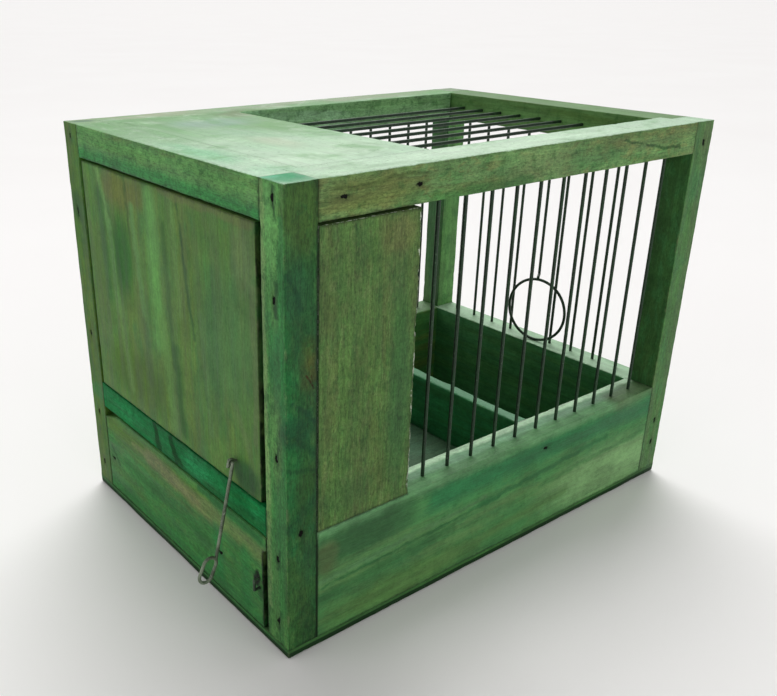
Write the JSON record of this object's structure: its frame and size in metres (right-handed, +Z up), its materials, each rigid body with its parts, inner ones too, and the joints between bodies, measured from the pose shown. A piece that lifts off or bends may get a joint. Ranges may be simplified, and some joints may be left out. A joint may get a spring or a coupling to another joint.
{
  "type": "canary breeding cage",
  "caption": "Small timber breeding cage with wire walls and roof, a boarded end with a pivoting side door, a slide-out drawer, a hanging wire hook and a wire feeder ring.",
  "frame": {"origin": "centre of the underside of the base board", "axes": "+X along the wired front, away from the door end; +Y from the front to the back; +Z up"},
  "size_m": [0.2709, 0.174, 0.19],
  "materials": {
    "stained_timber": "worn stain",
    "drawer_timber": "bare, greyed",
    "steel_wire": "dull, greyed",
    "nail_steel": "rusted"
  },
  "bodies": {
    "frame": {"base_board": "stained_timber", "post_front_left": "stained_timber", "post_front_right": "stained_timber", "post_back_left": "stained_timber", "post_back_right": "stained_timber", "top_rail_front": "stained_timber", "top_rail_back": "stained_timber", "top_rail_left": "stained_timber", "top_rail_right": "stained_timber", "lower_board_front": "stained_timber", "lower_board_back": "stained_timber", "lower_board_right": "stained_timber", "divider": "stained_timber", "crossbar": "stained_timber", "roof_board": "stained_timber", "front_panel": "stained_timber", "back_panel": "stained_timber", "runner_front": "stained_timber", "runner_back": "stained_timber", "door_stop": "stained_timber", "front_wires": "steel_wire", "back_wires": "steel_wire", "right_wires": "steel_wire", "roof_wires": "steel_wire", "feeder_ring": "steel_wire", "door_pivots": "nail_steel", "nails_left": "nail_steel", "nails_right": "nail_steel", "nails_front": "nail_steel", "nails_back": "nail_steel", "nails_base": "nail_steel"},
    "door": {"door_panel": "stained_timber"},
    "hook_eye": {"hook_eye": "steel_wire"},
    "hook": {"hook_wire": "steel_wire"},
    "drawer": {"drawer_front": "stained_timber", "drawer_floor": "drawer_timber", "drawer_cleat": "stained_timber", "drawer_staple": "steel_wire", "drawer_nails": "nail_steel"}
  },
  "joints": [
    {"name": "door_hinge", "type": "hinge", "parent": "frame", "child": "door", "pos_m": [-0.121, 0.06746, 0.12], "axis": [0, 0, -1], "range_deg": [0, 105]},
    {"name": "drawer_slide", "type": "slide", "parent": "frame", "child": "drawer", "axis": [-1, 0, 0], "range_m": [0, 0.1]},
    {"name": "hook_turn", "type": "hinge", "parent": "door", "child": "hook_eye", "pos_m": [-0.1275, -0.0528, 0.0758], "axis": [1, 0, 0], "range_deg": [-16, 90]},
    {"name": "hook_lift", "type": "hinge", "parent": "hook_eye", "child": "hook", "pos_m": [-0.1275, -0.0528, 0.0758], "axis": [0, 1, 0], "range_deg": [0, 130]}
  ],
  "couplings": [
    {"joint": "hook_lift", "follows": "drawer_slide", "rad_per_m": 22.689}
  ]
}
